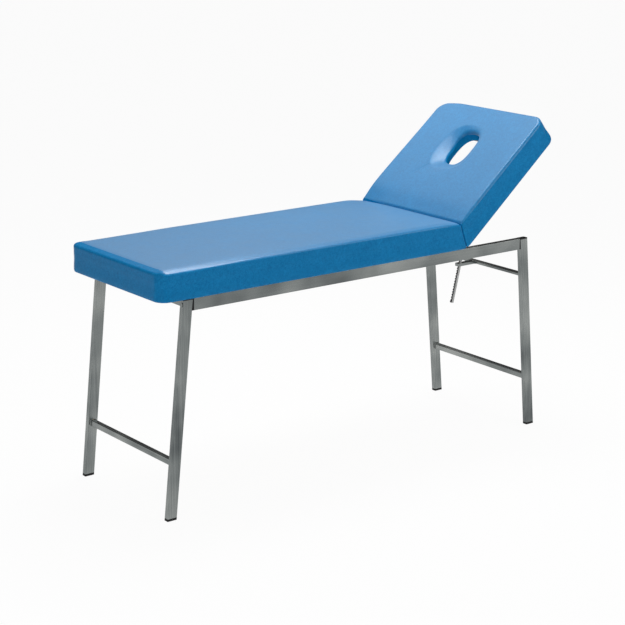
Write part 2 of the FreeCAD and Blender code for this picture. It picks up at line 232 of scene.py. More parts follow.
def grid_piece(name, grids, wrap_rows=False, wrap_columns=True):
    """One mesh from a stack of like grids of points (copies, rows, columns, 3): a quad joins each
    four neighbours, and a wrapped direction closes on itself. Points that meet are merged."""
    grids = np.asarray(grids, float)
    copies, rows, columns, _ = grids.shape
    row, column = np.meshgrid(np.arange(rows if wrap_rows else rows - 1),
                              np.arange(columns if wrap_columns else columns - 1), indexing="ij")
    next_row = (row + 1) % rows
    next_column = (column + 1) % columns
    quads = np.stack([row * columns + column, row * columns + next_column,
                      next_row * columns + next_column, next_row * columns + column], -1).reshape(-1, 4)
    starts = np.arange(copies)[:, None, None] * rows * columns
    mesh = bpy.data.meshes.new(name)
    mesh.from_pydata(grids.reshape(-1, 3).tolist(), [], (starts + quads).reshape(-1, 4).tolist())
    shape = bmesh.new()
    shape.from_mesh(mesh)
    bmesh.ops.remove_doubles(shape, verts=shape.verts, dist=2e-6)
    bmesh.ops.recalc_face_normals(shape, faces=shape.faces)
    shape.to_mesh(mesh)
    shape.free()
    mesh.shade_smooth()
    piece = bpy.data.objects.new(name, mesh)
    bpy.context.scene.collection.objects.link(piece)
    return piece


def settle(piece, material, body):
    """Gives a finished piece its material and the body it rides on."""
    piece.data.materials.append(material)
    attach(piece, body)


def squared_loop(half_u, half_v, corner, count):
    """Points round a rounded rectangle: the point at an even step of arc length, found by walking
    the four straights and the four quarter circles. Gives places and outward directions."""
    straight_u = 2 * (half_u - corner)
    straight_v = 2 * (half_v - corner)
    arc = corner * math.pi / 2
    legs = np.array([straight_v, arc, straight_u, arc, straight_v, arc, straight_u, arc])
    ends_at = np.cumsum(legs)
    walked = np.arange(count) / count * ends_at[-1]
    leg = np.searchsorted(ends_at, walked, side="right")
    rest = walked - (ends_at - legs)[leg]
    quarter = leg // 2
    turn = quarter * math.pi / 2 + np.where(leg % 2 == 1, rest / max(corner, 1e-9), 0.0)
    out = np.stack([np.cos(turn), np.sin(turn)], -1)
    centres = np.array([[1, 1], [-1, 1], [-1, -1], [1, -1]]) * [half_u - corner, half_v - corner]
    starts = np.array([[1, -1], [1, 1], [-1, 1], [-1, -1]]) * [half_u - corner, half_v - corner]
    along = np.array([[0, 1], [-1, 0], [0, -1], [1, 0]])
    on_arc = centres[quarter] + corner * out
    on_straight = starts[quarter] + corner * out + along[quarter] * rest[:, None]
    return np.where((leg % 2 == 1)[:, None], on_arc, on_straight), out


def weld_bead(middle, axis_u, axis_v, normal, half_u, half_v, corner, radius, ripple):
    """A bead round a tube's end: a half-buried ring that follows the tube's outline, its radius
    swelling and shrinking with each drop of the weld."""
    steps = 120
    places, out = squared_loop(half_u, half_v, corner, steps)
    drop = np.arange(steps) / steps * ripple * 2 * math.pi
    swell = radius * (1 + 0.16 * np.sin(drop) + 0.07 * np.sin(drop * 0.37 + 1.1))
    centre = middle + places[:, :1] * axis_u + places[:, 1:] * axis_v
    outward = out[:, :1] * axis_u + out[:, 1:] * axis_v
    return (centre[:, None]
            + swell[:, None, None] * (np.cos(round_bead)[None, :, None] * outward[:, None]
                                      + np.sin(round_bead)[None, :, None] * normal))


def tube_ends(tube):
    """Middles of a cross tube's two end faces."""
    low, high = (np.array(corner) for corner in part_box(tube))
    middle = (low + high) / 2
    return [np.array([middle[0], y, middle[2]]) for y in (low[1], high[1])]


splay = math.radians(5.65)
across_lacquer = lacquered_steel("grey_lacquer_across", (260.0, 2.0, 260.0), 0.35)
dress(["foot_brace", "head_brace", "foot_crossbar", "rack_crossbar", "hinge_tube"], across_lacquer)
along_x, along_y, along_z = np.eye(3)
round_bead = np.arange(8) / 8 * 2 * math.pi
bead_radius = 0.0021
bead_drops = 26
tube_corner = 0.002
brace_half = 0.010
rack_crossbar_half_high = 0.005
hinge_tube_half = 0.0125
hinge_tube_drops = 30
welded_tubes = [("foot_brace", ends["foot"], brace_half), ("head_brace", ends["head"], brace_half),
                ("foot_crossbar", ends["foot"], brace_half),
                ("rack_crossbar", ends["head"], rack_crossbar_half_high)]
beads = []
for tube, end, half_high in welded_tubes:
    leaning = np.array([end * math.sin(splay), 0.0, -math.cos(splay)])
    level = np.array([math.cos(splay), 0.0, end * math.sin(splay)])
    for middle in tube_ends(tube):
        beads.append(weld_bead(middle, level, leaning, along_y, brace_half, half_high,
                               tube_corner, bead_radius, bead_drops))
for middle in tube_ends("hinge_tube"):
    beads.append(weld_bead(middle, along_x, along_z, along_y, hinge_tube_half, hinge_tube_half,
                           tube_corner, bead_radius, hinge_tube_drops))
tube_welds = grid_piece("tube_welds", beads, wrap_rows=True)
settle(tube_welds, across_lacquer, "frame")

# Side rails: flat oblong tubes along both sides, bolted to the legs' inner flanks and lacquered
# like them. The pads' boxes lie on top of them.
along_lacquer = lacquered_steel("grey_lacquer_along", (1.0, 260.0, 260.0), 0.12)
dress(["side_rail_near", "side_rail_far"], along_lacquer)

# Leg bolts: low round-headed bolts through the top of each leg into the rail's plug, sprayed with
# the frame, so that their heads hardly show on the leg's outer face.
dress(["leg_bolts"], upright_lacquer)

# Rack loop: a flat strap bent to a U, its two limbs welded to the crossbar of the head legs. The
# rack passes through the slot that the strap leaves.
dress(["rack_loop"], along_lacquer)
limb_across = 0.0085
limb_half_thick = 0.0027
limb_half_high = 0.0052
limb_corner = 0.0012
limb_bead_radius = 0.0014
limb_bead_drops = 14
limb_bead_setback = 0.0008
low, high = (np.array(corner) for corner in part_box("rack_loop"))
strap_beads = []
for side in sides.values():
    middle = np.array([high[0] - limb_bead_setback, side * limb_across, (low[2] + high[2]) / 2])
    strap_beads.append(weld_bead(middle, along_y, along_z, along_x, limb_half_thick, limb_half_high,
                                 limb_corner, limb_bead_radius, limb_bead_drops))
loop_welds = grid_piece("loop_welds", strap_beads, wrap_rows=True)
settle(loop_welds, along_lacquer, "frame")

# Seat box: pine slats on edge, glued and stapled under a plywood panel. Nobody sees it except
# from below, so it is left raw, with its grain along each slat.


def raw_wood(name, grain, pale, dark):
    """Straight-grained wood: noise drawn out along the grain, with finer pores over it."""
    material, tree, shader, place = new_finish(name, 0.62)
    rings = clouds(tree, stretched(tree, place, grain), 1.0, 5.0, 0.62)
    pores = clouds(tree, stretched(tree, place, tuple(5.0 * share for share in grain)), 1.0, 2.0)
    middle = tuple((light + deep) / 2 for light, deep in zip(pale, dark))
    board = colours(tree, rings, [(0.30, dark), (0.48, middle), (0.66, pale)])
    shade = spread(tree, pores, 0.55, 0.75, 0.0, 0.35)
    tree.links.new(tinted(tree, board, dark, shade), shader.inputs["Base Color"])
    tree.links.new(spread(tree, pores, 0.3, 0.7, 0.55, 0.75), shader.inputs["Roughness"])
    embossed(tree, shader, pores, 0.25, 0.0003)
    return material


pine_pale = (0.60, 0.42, 0.23)
pine_dark = (0.42, 0.25, 0.11)
pine_along = raw_wood("pine_along", (6.0, 130.0, 130.0), pine_pale, pine_dark)
pine_across = raw_wood("pine_across", (130.0, 6.0, 130.0), pine_pale, pine_dark)
plywood = raw_wood("birch_plywood", (4.0, 60.0, 60.0), (0.66, 0.52, 0.34), (0.52, 0.38, 0.22))
dress(["seat_slat_near", "seat_slat_far"], pine_along)
dress(["seat_slat_foot", "seat_slat_head"], pine_across)
dress(["seat_panel"], plywood)

# Seat cushion: foam on the box under a taut blue coated cloth, which wraps down the sides and is
# turned in under the slats. The end at the seam is bevelled, so that it meets the backrest.


def joint_place(name):
    """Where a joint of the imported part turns."""
    return np.array(next(joint["pos_m"] for joint in frame["joints"] if joint["name"] == name))


hinge = joint_place("backrest_hinge")
fold = math.radians(40.5)
seat_length = 1.273
pad_half = 0.272
pad_edge = 0.0985
pad_crown = 0.0015
crown_reach = 0.19
pad_shoulder = 0.0095
pad_waist = 0.0020
seat_corner = 0.040
seam_corner = 0.007
seam_gap = 0.0003
bevel_reach = 0.26
cover_thickness = 0.0012
held_below = 0.066
held_at_seam = 0.006
inflation = 2.0
seat_swell = 0.0012
polish_from = 0.0905
rim_polish_from = 0.0815
dull_band = 0.027
dull_end = dull_band - seat_length + hinge[0]


def eased(value, start, end):
    """Goes smoothly from 0 at start to 1 at end."""
    share = np.clip((value - start) / (end - start), 0.0, 1.0)
    return share * share * (3 - 2 * share)


def pad_ring(length, corner, inset, seam_inset, steps):
    """Outline of a pad drawn in by an inset: straights and quarter circles walked from the seam
    along the near side, round the free end and back, each with a fixed number of points."""
    side_steps, corner_steps, end_steps, seam_steps = steps
    half = pad_half - inset
    least_free, least_seam = 0.002, 0.001
    widened = 0.3 * max(inset - pad_shoulder, 0.0)
    free = min(max(corner - min(inset, pad_shoulder), least_free) + widened, half)
    seam = min(max(seam_corner - seam_inset, least_seam) + widened, half)
    first, last = seam_inset, length - inset
    quarter = np.linspace(0.0, math.pi / 2, corner_steps, endpoint=False)
    seam_quarter = np.linspace(0.0, math.pi / 2, seam_steps, endpoint=False)
    run = np.linspace(first + seam, last - free, side_steps, endpoint=False)
    back = np.linspace(last - free, first + seam, side_steps, endpoint=False)
    over = np.linspace(-half + free, half - free, end_steps, endpoint=False)
    home = np.linspace(half - seam, -half + seam, end_steps, endpoint=False)
    along = [run, last - free + free * np.sin(quarter), np.full(end_steps, last),
             last - free + free * np.cos(quarter), back, first + seam - seam * np.sin(seam_quarter),
             np.full(end_steps, first), first + seam - seam * np.cos(seam_quarter)]
    across = [np.full(side_steps, -half), -half + free - free * np.cos(quarter), over,
              half - free + free * np.sin(quarter), np.full(side_steps, half),
              half - seam + seam * np.cos(seam_quarter), home,
              -half + seam - seam * np.sin(seam_quarter)]
    return np.concatenate(along), np.concatenate(across)


def pad_wall():
    """Rows of a pad's wall as inset, seam inset and height: the hem turned under, the lower edge,
    the side drawn in a little at the waist, and the shoulder, a quarter circle."""
    hem_lift = 0.0002
    hem = [(0.022, 0.054, hem_lift), (0.015, 0.048, hem_lift), (0.008, 0.040, hem_lift)]
    edge_round, edge_inset, hinge_round = 0.004, 0.001, 0.026
    turn = np.linspace(0.0, math.pi / 2, 4)
    lower = [(edge_round * (1 - math.sin(t)) + edge_inset,
              edge_round * (1 - math.sin(t)) + hinge_round * math.cos(t),
              hem_lift + edge_round * (1 - math.cos(t))) for t in turn]
    side_foot, waist_height, waist_spread = 0.010, 0.048, 0.024
    rise = np.linspace(side_foot, pad_edge - pad_shoulder, 11)
    waist = pad_waist * np.exp(-((rise - waist_height) / waist_spread) ** 2)
    round_height, round_share = 0.020, 0.45
    below = np.clip(1 - rise / round_height, 0, 1)
    near_hinge = hinge_round * (1 - np.sqrt(1 - below ** 2)) * round_share
    side = list(zip(waist, near_hinge, rise))
    roll = np.linspace(0.0, math.pi / 2, 8)[1:]
    over = pad_shoulder * (1 - np.cos(roll))
    shoulder = list(zip(over, over, pad_edge - pad_shoulder + pad_shoulder * np.sin(roll)))
    return hem + lower + side + shoulder


def climbed(distance):
    """Share of the crown reached at a distance from an edge: it climbs and flattens."""
    share = np.clip((distance - pad_shoulder) / (crown_reach - pad_shoulder), 0.0, 1.0)
    return 1 - (1 - share) ** 2


def crowned(along, across, length):
    """Height of a pad's top: the share climbed from its sides times the share climbed from its
    ends, so that the corners have no ridge."""
    from_sides = climbed(pad_half - np.abs(across))
    return pad_edge + pad_crown * from_sides * climbed(np.minimum(along, length - along))


def bevelled(along, across, height, direction):
    """Places of pad points in the flat: the seam end leans back by half the fold, and the lean
    fades out along the pad. The top sinks a little where the cover is pulled into the seam."""
    seam_sink, sink_reach, sink_above, pull_from = 0.004, 0.050, 0.06, 0.10
    corner_pull = 1.0 + 1.2 * eased(across, pull_from, pad_half)
    near_seam = np.exp(-(along / sink_reach) ** 2)
    height = height - seam_sink * corner_pull * near_seam * eased(height, sink_above, pad_edge)
    lean = height * math.tan(fold / 2) * (1 - eased(along, 0.0, bevel_reach))
    reach = seam_gap + along + lean
    return np.stack([hinge[0] + direction * reach, across, hinge[2] + height], -1)


def coated_cloth(name, specular, sheen, relief, dirt):
    """Blue coated cloth: a leathery grain of two sizes with dirt in its valleys, and faint
    mottling. Specular and sheen make it dull, polished by hands and cleaning, or matt."""
    material, tree, shader, place = new_finish(name, 0.30, specular=specular)
    shader.inputs["Specular Tint"].default_value = (0.90, 0.95, 1.0, 1.0)
    shader.inputs["Sheen Weight"].default_value = sheen
    shader.inputs["Sheen Roughness"].default_value = 0.5
    mottle = clouds(tree, place, 14.0, 4.0)
    pores = clouds(tree, place, 210.0, 3.0, 0.75)
    creases = clouds(tree, place, 90.0, 4.0, 0.7)
    grain = sum_of(tree, pores, sum_of(tree, creases, 0.7, "MULTIPLY"))
    blue = colours(tree, spread(tree, mottle, 0.3, 0.7, 0.0, 1.0),
                   [(0.0, (0.0075, 0.226, 0.505)), (1.0, (0.0100, 0.250, 0.555))])
    valleys = spread(tree, grain, 0.66, 1.02, dirt, 0.0)
    tree.links.new(tinted(tree, blue, (0.0013, 0.136, 0.370), valleys), shader.inputs["Base Color"])
    tree.links.new(spread(tree, mottle, 0.3, 0.7, 0.29, 0.35), shader.inputs["Roughness"])
    embossed(tree, shader, grain, relief, 0.0006)
    return material


def stuffed(piece, held, pressure, cap):
    """Swells a cover from inside by cloth simulation: held points stay, the swelling is smoothed
    over the mesh, and no point goes further than the cap from where the pattern puts it."""
    frames, smoothing_rounds = 20, 50
    count = len(piece.data.vertices)
    before = np.empty(count * 3, np.float32)
    piece.data.vertices.foreach_get("co", before)
    before = before.reshape(-1, 3)
    trial = bpy.data.objects.new(piece.name + "_trial", piece.data.copy())
    bpy.context.scene.collection.objects.link(trial)
    group = trial.vertex_groups.new(name="held")
    group.add(np.flatnonzero(held(before)).tolist(), 1.0, "REPLACE")
    cloth = trial.modifiers.new("Cloth", "CLOTH")
    cloth.settings.vertex_group_mass = "held"
    cloth.settings.use_pressure = True
    cloth.settings.uniform_pressure_force = pressure
    taut = 30.0
    cloth.settings.tension_stiffness = taut
    cloth.settings.compression_stiffness = taut
    cloth.settings.shear_stiffness = 12.0
    cloth.settings.bending_stiffness = 4.0
    cloth.settings.effector_weights.gravity = 0.0
    cloth.collision_settings.use_collision = False
    for step in range(1, frames + 1):
        bpy.context.scene.frame_set(step)
    shown = trial.evaluated_get(bpy.context.evaluated_depsgraph_get())
    after = np.empty(count * 3, np.float32)
    shown.data.vertices.foreach_get("co", after)
    shift = after.reshape(-1, 3) - before
    edges = np.empty(len(piece.data.edges) * 2, np.int32)
    piece.data.edges.foreach_get("vertices", edges)
    joined = np.concatenate([edges.reshape(-1, 2), edges.reshape(-1, 2)[:, ::-1]])
    here, there = joined[:, 0], joined[:, 1]
    degree = np.bincount(here, minlength=count)[:, None]
    free = ~held(before)[:, None]
    for _ in range(smoothing_rounds):
        around = np.stack([np.bincount(here, shift[there, axis], count) for axis in range(3)], -1)
        shift = (0.5 * shift + 0.5 * around / np.maximum(degree, 1)) * free
    far = np.linalg.norm(shift, axis=1, keepdims=True)
    limited = shift * (cap * np.tanh(far / cap) / np.maximum(far, 1e-9))
    piece.data.vertices.foreach_set("co", (before + limited).astype(np.float32).ravel())
    piece.data.update()
    bpy.context.scene.frame_set(1)
    bpy.data.objects.remove(trial)


def made_final(piece):
    """Applies one subdivision and the cover's thickness to the mesh."""
    smooth = piece.modifiers.new("Smooth", "SUBSURF")
    smooth.levels = 1
    smooth.render_levels = 1
    wall = piece.modifiers.new("Cover", "SOLIDIFY")
    wall.thickness = cover_thickness
    wall.offset = -1.0
    shown = piece.evaluated_get(bpy.context.evaluated_depsgraph_get())
    final = bpy.data.meshes.new_from_object(shown)
    piece.modifiers.clear()
    piece.data = final
    final.shade_smooth()


def softened(along, across, height, length):
    """Lowers a pad's top towards its free edges, where the foam gives way under the pulled cover:
    more at the free end than along the sides."""
    gives_above, end_give, side_give, added_give = 0.055, 0.0055, 0.0028, 0.0050
    end_reach, side_reach, full_at = 0.036, 0.030, 0.004
    added_from, added_full = 0.40, 0.06
    at_end = end_give * eased(along, length - end_reach, length - full_at)
    slack = side_give + added_give * eased(along, length - added_from, length - added_full)
    at_side = slack * eased(np.abs(across), pad_half - side_reach, pad_half - full_at)
    return height - eased(height, gives_above, pad_edge) * np.maximum(at_end, at_side)


def box_height(points, turn):
    """Height of points above the underside of a pad's box, for a pad turned up by an angle."""
    offset = points - hinge
    return offset[:, 2] * math.cos(turn) - offset[:, 0] * math.sin(turn)


def polish(piece, turn, from_hole):
    """Puts the polished cloth on the top of a pad, from the upper turn of its shoulder, and on the
    rim of its hole; the cloth drawn down into the hole keeps its matt face, and the drawn-down
    foot end stays dull."""
    for cloth in (dull_cloth, polished_cloth, matt_cloth):
        piece.data.materials.append(cloth)
    count = len(piece.data.polygons)
    middles = np.empty(count * 3, np.float32)
    piece.data.polygons.foreach_get("center", middles)
    middles = middles.reshape(-1, 3)
    height = box_height(middles, turn)
    in_hole = from_hole(middles) < 0.0
    finish = np.where((height > polish_from) & (middles[:, 0] > dull_end), 1, 0)
    finish[in_hole] = np.where(height[in_hole] > rim_polish_from, 1, 2)
    piece.data.polygons.foreach_set("material_index", finish.astype(np.int32))
    piece.data.update()


def pleated(along, across, height, length, corner):
    """Draws a tuck into each corner of a pad's free end: a narrow groove up the side, leaning with
    the fold of the cover, that fades out before the shoulder."""
    centre = length - corner
    side = np.abs(across) - (pad_half - corner)
    on_corner = (along > centre) & (side > 0)
    turn = np.arctan2(np.maximum(along - centre, 0.0), np.maximum(side, 1e-6))
    tuck_depth, tuck_width, tuck_turn, tuck_lean, tuck_height = 0.0017, 0.0026, 0.30, 0.35, 0.03
    walked = corner * (turn - tuck_turn) - tuck_lean * (height - tuck_height)
    depth = tuck_depth * np.exp(-(walked / tuck_width) ** 2)
    depth = depth * eased(height, 0.002, 0.012) * (1 - eased(height, 0.050, 0.080))
    depth = np.where(on_corner, depth, 0.0)
    return along - depth * np.sin(turn), across - np.sign(across) * depth * np.cos(turn)


def wall_rows(length, corner, steps):
    """Rows of points up a pad's wall: places along, places across and heights."""
    rows = []
    for inset, seam_inset, height in pad_wall():
        along, across = pad_ring(length, corner, inset, seam_inset, steps)
        tucked = pleated(along, across, height, length, corner)
        rows.append((*tucked, np.full_like(along, height)))
    return rows


seat_steps = (62, 22, 24, 4)
seat_rows = wall_rows(seat_length, seat_corner, seat_steps)
for share in (np.arange(1, 17) / 16) ** 1.5:
    inset = pad_shoulder + share * (pad_half - pad_shoulder)
    along, across = pad_ring(seat_length, seat_corner, inset, inset, seat_steps)
    seat_rows.append((along, across, crowned(along, across, seat_length)))
seat_rows = [(*row[:2], softened(*row, seat_length)) for row in seat_rows]
seat_points = np.stack([bevelled(*row, -1.0) for row in seat_rows])
seat_cover = grid_piece("seat_cover", [seat_points])


def seat_held(points):
    """The side below the roll, and the bevelled end."""
    offset = points - hinge
    from_seam = -offset[:, 0] * math.cos(fold / 2) - offset[:, 2] * math.sin(fold / 2)
    return (box_height(points, 0.0) < held_below) | (from_seam < held_at_seam)


stuffed(seat_cover, seat_held, inflation, seat_swell)
made_final(seat_cover)
dull_cloth = coated_cloth("blue_coated_cloth", 0.08, 0.0, 0.16, 0.75)
polished_cloth = coated_cloth("blue_coated_cloth_polished", 0.5, 0.25, 0.14, 0.60)
matt_cloth = coated_cloth("blue_coated_cloth_matt", 0.0, 0.0, 0.16, 0.20)
polish(seat_cover, 0.0, lambda points: np.ones(len(points)))
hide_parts("seat_cushion")
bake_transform(seat_cover)

# Hinges: two pressed steel butt hinges under the seam. The fixed leaves are welded to the cross
# tube, the moving leaves are screwed to the backrest's first slat.


def plated_steel(name):
    """Zinc plating: pale grey metal in patches, yellowed in a few, with a fine crystal grain."""
    material, tree, shader, place = new_finish(name, 0.3, metallic=1.0)
    patches = clouds(tree, place, 160.0, 4.0)
    zinc = colours(tree, patches, [(0.25, (0.40, 0.41, 0.41)), (0.6, (0.55, 0.555, 0.54)),
                                   (0.85, (0.60, 0.585, 0.53))])
    tree.links.new(zinc, shader.inputs["Base Color"])
    tree.links.new(spread(tree, patches, 0.3, 0.75, 0.24, 0.42), shader.inputs["Roughness"])
    embossed(tree, shader, clouds(tree, place, 1500.0, 2.0), 0.12, 0.0001)
    return material


bolt_plating = plated_steel("bright_zinc_plating")
dress([f"hinge_{part}_{side}" for part in ("leaf_seat", "leaf_backrest", "pin") for side in sides],
      bolt_plating)


def set_on(shape, middle, axis):
    """Turns a shape made along +Z onto an axis and sets its foot at a point."""
    axis = np.asarray(axis, float) / np.linalg.norm(axis)
    helper = along_y if abs(axis[1]) < 0.9 else along_x
    first = np.cross(helper, axis)
    first /= np.linalg.norm(first)
    second = np.cross(axis, first)
    return np.asarray(middle) + shape @ np.stack([first, second, axis])


def raised_points(points):
    """Turns points made with the backrest lying flat up to its angle at rest."""
    offset = points - hinge
    ahead = offset[..., 0] * math.cos(fold) - offset[..., 2] * math.sin(fold)
    above = offset[..., 0] * math.sin(fold) + offset[..., 2] * math.cos(fold)
    return hinge + np.stack([ahead, offset[..., 1], above], -1)


def screw_head(radius, height):
    """A domed head with a cross recess: a grid of rings from the rim to the middle, sunk where it
    is nearer to either axis of the cross than half the blade's width."""
    ring = np.concatenate([[1.0, 1.0], np.linspace(0.98, 0.0, 9)])
    turn = np.arange(32) / 32 * 2 * math.pi
    x = radius * ring[:, None] * np.cos(turn)
    y = radius * ring[:, None] * np.sin(turn)
    dome = height * (0.35 + 0.65 * np.sqrt(np.clip(1 - ring[:, None] ** 2, 0, 1))) * np.ones_like(x)
    dome[0] = 0.0
    half_blade, recess_reach, recess_depth = 0.17 * radius, 0.62, 0.55 * height
    inside = (np.minimum(np.abs(x), np.abs(y)) < half_blade) & (ring[:, None] < recess_reach)
    return np.stack([x, y, np.where(inside, dome - recess_depth, dome)], -1)


hinge_across = 0.170
leaf_thickness = 0.0025
leaf_half_length = 0.026
leaf_screw_along = 0.046
leaf_screw_pitch = 0.02
leaf_screw = screw_head(0.0042, 0.0020)
leaf_screws = []
for side in sides.values():
    for count in (-1, 0, 1):
        across = side * hinge_across + count * leaf_screw_pitch
        middle = hinge + (leaf_screw_along, across, -leaf_thickness)
        leaf_screws.append(raised_points(set_on(leaf_screw, middle, -along_z)))
hinge_screws = grid_piece("hinge_screws", leaf_screws)
settle(hinge_screws, bolt_plating, "backrest")


def straight_bead(start, end, radius, ripple):
    """A weld laid along a line: a tube whose radius ripples and closes to nothing at both ends."""
    share = np.linspace(0.0, 1.0, 60)
    drops = 1 + 0.15 * np.sin(share * ripple * 2 * math.pi)
    swell = radius * drops * np.sqrt(np.sin(share * math.pi)) ** 0.3
    swell[[0, -1]] = 0.0
    centre = start + share[:, None] * (end - start)
    return (centre[:, None]
            + swell[:, None, None] * (np.cos(round_bead)[None, :, None] * along_x
                                      + np.sin(round_bead)[None, :, None] * along_z))


leaf_bead_radius = 0.0017
leaf_bead_drops = 13
tube_high = np.array(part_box("hinge_tube")[1])
bead_line = tube_high * (1, 0, 1) + (0.0003, 0.0, -0.0005)
leaf_beads = []
for side in sides.values():
    start, end = (bead_line + (side * hinge_across + half) * along_y
                  for half in (-leaf_half_length, leaf_half_length))
    leaf_beads.append(straight_bead(start, end, leaf_bead_radius, leaf_bead_drops))
leaf_welds = grid_piece("leaf_welds", leaf_beads)
settle(leaf_welds, across_lacquer, "frame")

# Backrest box: the same pine slats and plywood as the seat's, with a hole cut through the panel
# for the face and one more slat across, past the hole, that carries the rack's clevis.
pine_raised = raw_wood("pine_raised", (14.0, 110.0, 110.0), pine_pale, pine_dark)
dress(["backrest_slat_near", "backrest_slat_far"], pine_raised)
dress(["backrest_slat_foot", "backrest_slat_head", "backrest_slat_middle"], pine_across)
dress(["backrest_panel"], plywood)

# Backrest cushion: made like the seat's, with an oval hole whose rim the cover rolls over softly
# before it goes down through the panel and is turned out under it.
backrest_length = 0.547
backrest_corner = 0.046
hole_middle = 0.348
hole_half_length = 0.078
hole_half_width = 0.056
hole_power = 2.8
hole_rim = 0.014
rim_margin = 0.06
dip_onset = 0.25
dip_near_reach = 0.010
dip_added_reach = 0.040
dip_level_reach = 0.008
dip_slope = 0.37
dip_focus = 2.2
deepest_at = math.radians(108.0)
far_lip = 0.012
throat_play = 0.0012
throat_end = 0.0004
panel_underside = 0.0512
backrest_swell = 0.0007
backrest_steps = (30, 24, 26, 4)


def oval(turn, grow):
    """The hole's outline, a rounded oblong grown by a margin: the radius at a direction of a
    superellipse, whose two shares of its half sizes, raised to its power, add up to one."""
    long_share = np.abs(np.cos(turn)) / (hole_half_length + grow)
    wide_share = np.abs(np.sin(turn)) / (hole_half_width + grow)
    radius = (long_share ** hole_power + wide_share ** hole_power) ** (-1 / hole_power)
    return hole_middle + radius * np.cos(turn), radius * np.sin(turn)


def drawn_in(along, across, height):
    """The foam's far edge and its far corner are pulled in by the cover above the panel."""
    edge_draw, side_draw = 0.011, 0.009
    above = eased(height, 0.058, 0.090) * eased(across, 0.15, pad_half)
    return (along - edge_draw * above * eased(along, 0.40, backrest_length),
            across - side_draw * above * eased(along, 0.12, 0.50))


backrest_rows = wall_rows(backrest_length, backrest_corner, backrest_steps)
edge_along, edge_across = backrest_rows[-1][:2]
facing = np.arctan2(edge_across, edge_along - hole_middle)
far_share = (0.5 + 0.5 * np.cos(facing - deepest_at)) ** dip_focus
dip_reach = dip_near_reach + dip_added_reach * far_share
hole_dip = dip_slope * (dip_reach - dip_level_reach)
lip = far_lip * far_share
rim_along, rim_across = oval(facing, hole_rim + dip_reach - lip)
for share in (np.arange(1, 15) / 14) ** 0.95:
    along = edge_along + share * (rim_along - edge_along)
    across = edge_across + share * (rim_across - edge_across)
    backrest_rows.append((along, across, crowned(along, across, backrest_length)))
rim_height = backrest_rows[-1][2]
for share in (0.1, 0.2, 0.35, 0.55, 0.8, 1.0):
    along, across = oval(facing, hole_rim + dip_reach * (1 - share) - lip)
    sunk = hole_dip * (1 + dip_onset) * share ** 2 / (share + dip_onset)
    backrest_rows.append((along, across, rim_height - sunk))
rim_tilt = np.arctan((1 + 2 * dip_onset) / (1 + dip_onset) * hole_dip / dip_reach)
for share in np.linspace(0.0, 1.0, 8)[1:]:
    turn = rim_tilt + share * (math.pi / 2 - rim_tilt)
    along, across = oval(facing, hole_rim * (1 - np.sin(turn)) / (1 - np.sin(rim_tilt)) - lip)
    fall = hole_rim * (np.cos(rim_tilt) - np.cos(turn))
    backrest_rows.append((along, across, rim_height - hole_dip - fall))
throat_height = backrest_rows[-1][2]
for share in (0.4, 0.75, 1.0):
    along, across = oval(facing, -lip * (1 - share) ** 2 - throat_play)
    lowering = share * (panel_underside - throat_end - throat_height)
    backrest_rows.append((along, across, throat_height + lowering))
for grow, below in ((0.0005, 0.0040), (0.0018, 0.0046), (0.0030, 0.0036), (0.0040, 0.0010)):
    along, across = oval(facing, grow)
    backrest_rows.append((along, across, np.full_like(along, panel_underside - below)))
backrest_rows = [(*drawn_in(*row), row[2]) for row in backrest_rows]
backrest_points = raised_points(np.stack([bevelled(*row, 1.0) for row in backrest_rows]))
backrest_cover = grid_piece("backrest_cover", [backrest_points])


def backrest_held(points):
    """The side below the roll, the bevelled end and the throat of the hole."""
    offset = points - hinge
    from_seam = offset[:, 0] * math.cos(fold / 2) + offset[:, 2] * math.sin(fold / 2)
    return (box_height(points, fold) < held_below) | (from_seam < held_at_seam)


def rim_reach(points):
    """How far points lie outside the polished rim of the hole; negative within it."""
    offset = points - hinge
    along = offset[:, 0] * math.cos(fold) + offset[:, 2] * math.sin(fold) - hole_middle
    return np.hypot(along / (hole_half_length + rim_margin),
                    offset[:, 1] / (hole_half_width + rim_margin)) - 1.0


stuffed(backrest_cover, backrest_held, inflation, backrest_swell)
made_final(backrest_cover)
polish(backrest_cover, fold, rim_reach)
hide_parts("backrest_cushion")
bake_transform(backrest_cover)

# Staples: bright wire staples that hold the turned-in cover to the slats' undersides, set a little
# askew by hand. They show only where no rail hides them.


def wire_staples(middles, directions, length, wire):
    """Staple crowns: a thin bar of four sides whose ends dip into the cloth, one for each middle,
    along its direction in the XY plane."""
    share = np.array([-0.5, -0.42, 0.42, 0.5])
    dip = np.array([-0.0010, 0.0, 0.0, -0.0010])
    corner = (np.arange(4) + 0.5) * math.pi / 2
    turned_to = np.stack([np.cos(directions), np.sin(directions), np.zeros_like(directions)], -1)
    beside = np.stack([-np.sin(directions), np.cos(directions), np.zeros_like(directions)], -1)
    down = -along_z
    line = (middles[:, None] + length * share[None, :, None] * turned_to[:, None]
            + dip[None, :, None] * down)
    return line[:, :, None] + wire * (np.cos(corner)[None, None, :, None] * beside[:, None, None]
                                      + np.sin(corner)[None, None, :, None] * down)


def staple_row(along, across):
    """Middles of a row of staples under a pad in the flat, along from the hinge and across."""
    along, across = np.broadcast_arrays(along, across)
    return np.stack([hinge[0] + along, across, np.full(len(along), hinge[2] + staple_lift)], -1)


